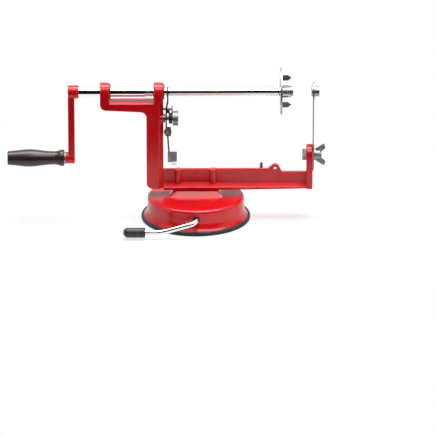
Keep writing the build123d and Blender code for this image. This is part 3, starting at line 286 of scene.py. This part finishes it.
# A round wire along a list of points, with domed ends
def wire(name, points, radius, slot, sides=20):
    dome = (0.0, 0.5, 0.87, 1.0)
    builder = bmesh.new()
    rings = []
    across = None
    for index, point in enumerate(points):
        before = points[max(index - 1, 0)]
        after = points[min(index + 1, len(points) - 1)]
        way = (after - before).normalized()
        if across is None:
            across = way.orthogonal().normalized()
        across = (across - way * across.dot(way)).normalized()
        beside = way.cross(across)
        ends = [(0.0, 1.0)]
        if index == 0:
            ends = [(-radius * math.sqrt(1 - share * share), share) for share in dome[1:]]
        if index == len(points) - 1:
            ends = [(radius * math.sqrt(1 - share * share), share) for share in reversed(dome[1:])]
        for shift, share in ends:
            ring = []
            for side in range(sides):
                angle = 2 * math.pi * side / sides
                reach = across * math.cos(angle) + beside * math.sin(angle)
                ring.append(builder.verts.new(point + way * shift + reach * radius * share))
            rings.append(ring)
    bridge(builder, rings)
    for ring in (rings[0], rings[-1]):
        builder.faces.new(ring)
    return piece_from(name, builder, slot, smooth_angle=60.0)


# A closed outline of (radius, height) points turned round the Z axis
def turned(name, outline, slot, steps=192, weld=0.001 * MM):
    builder = bmesh.new()
    rings = []
    for step in range(steps):
        angle = 2 * math.pi * step / steps
        rings.append(
            [
                builder.verts.new((radius * math.cos(angle), radius * math.sin(angle), height))
                for radius, height in outline
            ]
        )
    bridge(builder, rings, closed=True)
    bmesh.ops.remove_doubles(builder, verts=builder.verts[:], dist=weld)
    return piece_from(name, builder, slot)


def arc(middle, radius, start, end, steps=8):
    points = []
    for step in range(steps + 1):
        angle = math.radians(start + (end - start) * step / steps)
        points.append((middle[0] + radius * math.cos(angle), middle[1] + radius * math.sin(angle)))
    return points


# Torsion spring of the latch: a close helix round the pivot, with two upright legs
def latch_spring():
    wire_radius = 0.5 * MM
    half_turns = 5
    steps_per_half = 24
    leg_steps = 12
    low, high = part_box("latch_spring")
    middle_y = (low.y + high.y) / 2
    coil_radius = (high.y - low.y) / 2 - wire_radius
    middle_z = low.z + wire_radius + coil_radius
    first_x = low.x + wire_radius
    last_x = high.x - wire_radius
    points = []
    for step in range(leg_steps):
        share = 1 - step / leg_steps
        points.append(Vector((first_x, middle_y - coil_radius, middle_z + (high.z - middle_z) * share)))
    steps = half_turns * steps_per_half
    for step in range(steps + 1):
        angle = math.pi + math.pi * step / steps_per_half
        points.append(
            Vector(
                (
                    first_x + (last_x - first_x) * step / steps,
                    middle_y + coil_radius * math.cos(angle),
                    middle_z + coil_radius * math.sin(angle),
                )
            )
        )
    for step in range(1, leg_steps + 1):
        share = step / leg_steps
        points.append(Vector((last_x, middle_y + coil_radius, middle_z + (high.z - middle_z) * share)))
    piece = wire("latch_spring_coil", points, wire_radius, "spring_steel")
    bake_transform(piece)
    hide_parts("latch_spring")


# The points of a shallow groove, as (radius, height), cut up into a flat underside
def groove(middle, half_width, depth, steps=6):
    points = []
    for step in range(steps + 1):
        angle = math.pi * step / steps
        points.append((middle - half_width * math.cos(angle), depth * math.sin(angle)))
    return points


# Rubber pad: a rounded lip with a fine groove round it, sealing grooves below and a seat for the stud above
def suction_pad():
    lip_round = 1.5 * MM
    rim_groove = 0.3 * MM
    skin = 3.4 * MM
    seat_radius = 13.6 * MM
    seat_height = 1.75 * MM
    sealing_radii = (24.0 * MM, 34.0 * MM, 44.0 * MM)
    sealing_half = 0.8 * MM
    sealing_depth = 0.6 * MM
    ledge_width = 6.5 * MM
    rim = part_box("suction_pad")[1].x
    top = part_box("base_shell")[0].z
    outline = [(0.0, 0.0)]
    for radius in sealing_radii:
        outline += groove(radius, sealing_half, sealing_depth)
    outline += arc((rim - lip_round, lip_round), lip_round, -90, 0)
    outline += arc((rim, top / 2), rim_groove, 270, 90)
    outline += arc((rim - lip_round, top - lip_round), lip_round, 0, 90)
    outline.append((rim - ledge_width, top))
    outline.append((rim - ledge_width, skin))
    outline.append((seat_radius, skin))
    outline.append((seat_radius, seat_height))
    outline.append((0.0, seat_height))
    piece = turned("suction_pad_rubber", outline, "rubber")
    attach(piece, "frame")
    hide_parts("suction_pad")


# Points along straight runs that arcs join
def bent_path(corners, radii, steps=24):
    points = [corners[0]]
    for before, corner, after, radius in zip(corners, corners[1:], corners[2:], radii):
        way_in = (corner - before).normalized()
        way_out = (after - corner).normalized()
        half = way_in.angle(way_out) / 2
        middle = corner + (way_out - way_in).normalized() * radius / math.cos(half)
        reach = corner - way_in * radius * math.tan(half) - middle
        for step in range(steps + 1):
            turn = Matrix.Rotation(2 * half * step / steps, 3, way_in.cross(way_out))
            points.append(middle + turn @ reach)
    points.append(corners[-1])
    return points


# Bent rod of the suction lever, as one smooth round bar
def lever_rod():
    rod_radius = 2.5 * MM
    ramp_length = 34.0 * MM
    elbow_round = 7.0 * MM
    ramp_round = 55.0 * MM
    low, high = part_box("lever_rod")
    front = low.y + rod_radius
    axis_z = high.z - rod_radius
    tail_z = low.z + rod_radius
    corners = [
        Vector((0.0, high.y - rod_radius, axis_z)),
        Vector((0.0, front, axis_z)),
        Vector((-ramp_length, front, tail_z)),
        Vector((low.x + rod_radius, front, tail_z)),
    ]
    points = bent_path(corners, (elbow_round, ramp_round))
    piece = wire("lever_rod_bar", points, rod_radius, "chrome", sides=48)
    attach(piece, "suction_lever")
    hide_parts("lever_rod")


# Drive shaft: a plain bar, a right-handed two-start thread whose root faces the latch's nib, and a spigot.
# The thread's rows of points follow its edges round the shaft, and stop at the thread's two ends.
def drive_shaft():
    shaft_radius = 5.0 * MM
    spigot_radius = 3.2 * MM
    pitch = 2.8 * MM
    starts = 2
    depth = 1.1 * MM
    thread_length = 135.5 * MM
    nib_offset = 2.25 * MM
    root_half = 0.175
    flank = 0.2
    plain_steps = 24
    sides = 56
    weld = 0.002 * MM
    low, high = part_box("drive_shaft")
    axis_z = (low.z + high.z) / 2
    thread_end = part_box("fork_plate")[0].x
    thread_start = thread_end - thread_length
    nib_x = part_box("latch_lever")[0].x + nib_offset
    builder = bmesh.new()

    def spot(x, angle, radius):
        return builder.verts.new((x, radius * math.cos(angle), axis_z + radius * math.sin(angle)))

    def plain_ring(x, radius):
        return [spot(x, 2 * math.pi * side / sides, radius) for side in range(sides)]

    def thread_spot(travel, angle):
        turn = starts * (angle - math.pi) / (2 * math.pi)
        x = min(max(nib_x + pitch * (travel + turn), thread_start), thread_end)
        share = (x - nib_x) / pitch - turn
        from_root = abs(share - round(share))
        height = min(max((from_root - root_half) / flank, 0.0), 1.0)
        return spot(x, angle, shaft_radius - depth * (1.0 - height))

    edges = (-root_half, root_half, root_half + flank, 1.0 - root_half - flank, 1.0 - root_half)
    shares = []
    for near, far in zip(edges, edges[1:]):
        shares += [near, (near + far) / 2]
    first = math.floor((thread_start - nib_x) / pitch) - starts
    last = math.ceil((thread_end - nib_x) / pitch) + starts
    travels = [period + share for period in range(first, last) for share in shares]
    rows = [
        [thread_spot(travel, 2 * math.pi * side / sides) for side in range(sides)] for travel in travels
    ]
    top = len(rows) - 1
    shift = starts * len(shares)
    for row in range(top):
        for side in range(sides - 1):
            builder.faces.new(
                (rows[row][side], rows[row][side + 1], rows[row + 1][side + 1], rows[row + 1][side])
            )
        far_low = rows[min(row + shift, top)][0]
        far_high = rows[min(row + 1 + shift, top)][0]
        if far_low is not far_high:
            builder.faces.new((rows[row][-1], far_low, far_high, rows[row + 1][-1]))
    plain = [
        plain_ring(low.x + (thread_start - low.x) * step / plain_steps, shaft_radius)
        for step in range(plain_steps + 1)
    ]
    bridge(builder, plain + [rows[0]])
    tail = [plain_ring(thread_end, spigot_radius), plain_ring(high.x, spigot_radius)]
    bridge(builder, [rows[-1]] + tail)
    builder.faces.new(plain[0])
    builder.faces.new(tail[-1])
    bmesh.ops.remove_doubles(builder, verts=builder.verts[:], dist=weld)
    piece = piece_from("drive_shaft_bar", builder, "chrome")
    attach(piece, "drive")
    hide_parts("drive_shaft")


latch_spring()
suction_pad()
lever_rod()
drive_shaft()


# Studio: a pale floor that turns white with distance, a white sky with a dark front, and two soft lamps
def pale_floor():
    builder = bmesh.new()
    corners = (
        (-FLOOR_SIDE, FLOOR_FRONT),
        (FLOOR_SIDE, FLOOR_FRONT),
        (FLOOR_SIDE, FLOOR_BACK),
        (-FLOOR_SIDE, FLOOR_BACK),
    )
    builder.faces.new([builder.verts.new((x, y, 0.0)) for x, y in corners])
    mesh = bpy.data.meshes.new("floor")
    builder.to_mesh(mesh)
    builder.free()
    material, tree, shader = start_material("floor", Roughness=0.7, Specular_IOR_Level=0.2)
    shader.inputs["Base Color"].default_value = (*FLOOR_COLOUR, 1.0)
    spot = tree.nodes.new("ShaderNodeTexCoord")
    reach = tree.nodes.new("ShaderNodeVectorMath")
    reach.operation = "LENGTH"
    tree.links.new(spot.outputs["Object"], reach.inputs[0])
    share = tree.nodes.new("ShaderNodeMapRange")
    share.interpolation_type = "SMOOTHSTEP"
    share.inputs["From Min"].default_value = FLOOR_NEAR
    share.inputs["From Max"].default_value = FLOOR_FAR
    share.inputs["To Min"].default_value = FLOOR_NEAR_WHITE
    tree.links.new(reach.outputs["Value"], share.inputs["Value"])
    rays = tree.nodes.new("ShaderNodeLightPath")
    seen = math_node(tree, "MAXIMUM", rays.outputs["Is Camera Ray"], rays.outputs["Is Glossy Ray"])
    white = tree.nodes.new("ShaderNodeEmission")
    blend = tree.nodes.new("ShaderNodeMixShader")
    tree.links.new(math_node(tree, "MULTIPLY", share.outputs["Result"], seen), blend.inputs["Fac"])
    tree.links.new(shader.outputs["BSDF"], blend.inputs[1])
    tree.links.new(white.outputs["Emission"], blend.inputs[2])
    tree.links.new(blend.outputs["Shader"], tree.nodes["Material Output"].inputs["Surface"])
    mesh.materials.append(material)
    floor = bpy.data.objects.new("floor", mesh)
    bpy.context.scene.collection.objects.link(floor)


def smooth_step(tree, value, limits):
    node = tree.nodes.new("ShaderNodeMapRange")
    node.interpolation_type = "SMOOTHSTEP"
    node.inputs["From Min"].default_value, node.inputs["From Max"].default_value = limits
    tree.links.new(value, node.inputs["Value"])
    return node.outputs["Result"]


def studio_sky():
    world = bpy.data.worlds.new("studio_sky")
    world.use_nodes = True
    bpy.context.scene.world = world
    tree = world.node_tree
    tree.nodes.clear()
    direction = tree.nodes.new("ShaderNodeTexCoord")
    parts = tree.nodes.new("ShaderNodeSeparateXYZ")
    tree.links.new(direction.outputs["Generated"], parts.inputs["Vector"])
    front = smooth_step(tree, parts.outputs["Y"], FRONT_SIDE)
    below_top = smooth_step(tree, parts.outputs["Z"], FRONT_TOP[::-1])
    shade = tree.nodes.new("ShaderNodeMix")
    shade.data_type = "RGBA"
    shade.inputs["A"].default_value = (1.0, 1.0, 1.0, 1.0)
    shade.inputs["B"].default_value = (*FRONT_DARK, 1.0)
    tree.links.new(math_node(tree, "MULTIPLY", front, below_top), shade.inputs["Factor"])
    rays = tree.nodes.new("ShaderNodeLightPath")
    soft = tree.nodes.new("ShaderNodeBackground")
    soft.inputs["Color"].default_value = (1.0, 1.0, 1.0, 1.0)
    soft.inputs["Strength"].default_value = SKY_LIGHT
    shiny = tree.nodes.new("ShaderNodeBackground")
    shiny.inputs["Strength"].default_value = SKY_GLOSS
    tree.links.new(shade.outputs["Result"], shiny.inputs["Color"])
    seen = tree.nodes.new("ShaderNodeBackground")
    seen.inputs["Color"].default_value = (1.0, 1.0, 1.0, 1.0)
    gloss_mix = tree.nodes.new("ShaderNodeMixShader")
    tree.links.new(rays.outputs["Is Glossy Ray"], gloss_mix.inputs["Fac"])
    tree.links.new(soft.outputs["Background"], gloss_mix.inputs[1])
    tree.links.new(shiny.outputs["Background"], gloss_mix.inputs[2])
    camera_mix = tree.nodes.new("ShaderNodeMixShader")
    tree.links.new(rays.outputs["Is Camera Ray"], camera_mix.inputs["Fac"])
    tree.links.new(gloss_mix.outputs["Shader"], camera_mix.inputs[1])
    tree.links.new(seen.outputs["Background"], camera_mix.inputs[2])
    output = tree.nodes.new("ShaderNodeOutputWorld")
    tree.links.new(camera_mix.outputs["Shader"], output.inputs["Surface"])


def soft_lamp(name, place, size, watts):
    light = bpy.data.lights.new(name, "AREA")
    light.shape = "RECTANGLE"
    light.size, light.size_y = size
    light.energy = watts
    lamp = bpy.data.objects.new(name, light)
    lamp.location = place
    aim = Vector(LAMP_AIM) - Vector(place)
    lamp.rotation_mode = "QUATERNION"
    lamp.rotation_quaternion = aim.to_track_quat("-Z", "Y")
    bpy.context.scene.collection.objects.link(lamp)


def photo_camera():
    azimuth = math.radians(VIEW_AZIMUTH)
    elevation = math.radians(VIEW_ELEVATION)
    back = Vector(
        (
            math.sin(azimuth) * math.cos(elevation),
            -math.cos(azimuth) * math.cos(elevation),
            math.sin(elevation),
        )
    )
    level = Vector((0.0, 0.0, 1.0)).cross(back).normalized()
    up = back.cross(level)
    turn = Matrix.Rotation(math.radians(VIEW_ROLL), 3, back)
    axes = Matrix((turn @ level, turn @ up, back)).transposed().to_4x4()
    data = bpy.data.cameras.new("photo_camera")
    data.lens = VIEW_LENS
    data.sensor_width = VIEW_SENSOR
    camera = bpy.data.objects.new("photo_camera", data)
    camera.matrix_world = Matrix.Translation(Vector(VIEW_TARGET) + back * VIEW_DISTANCE) @ axes
    bpy.context.scene.collection.objects.link(camera)
    bpy.context.scene.camera = camera


pale_floor()
studio_sky()
soft_lamp("key_lamp", KEY_PLACE, KEY_SIZE, KEY_WATTS)
soft_lamp("top_lamp", TOP_PLACE, TOP_SIZE, TOP_WATTS)
photo_camera()
bpy.context.scene.view_settings.view_transform = "Standard"
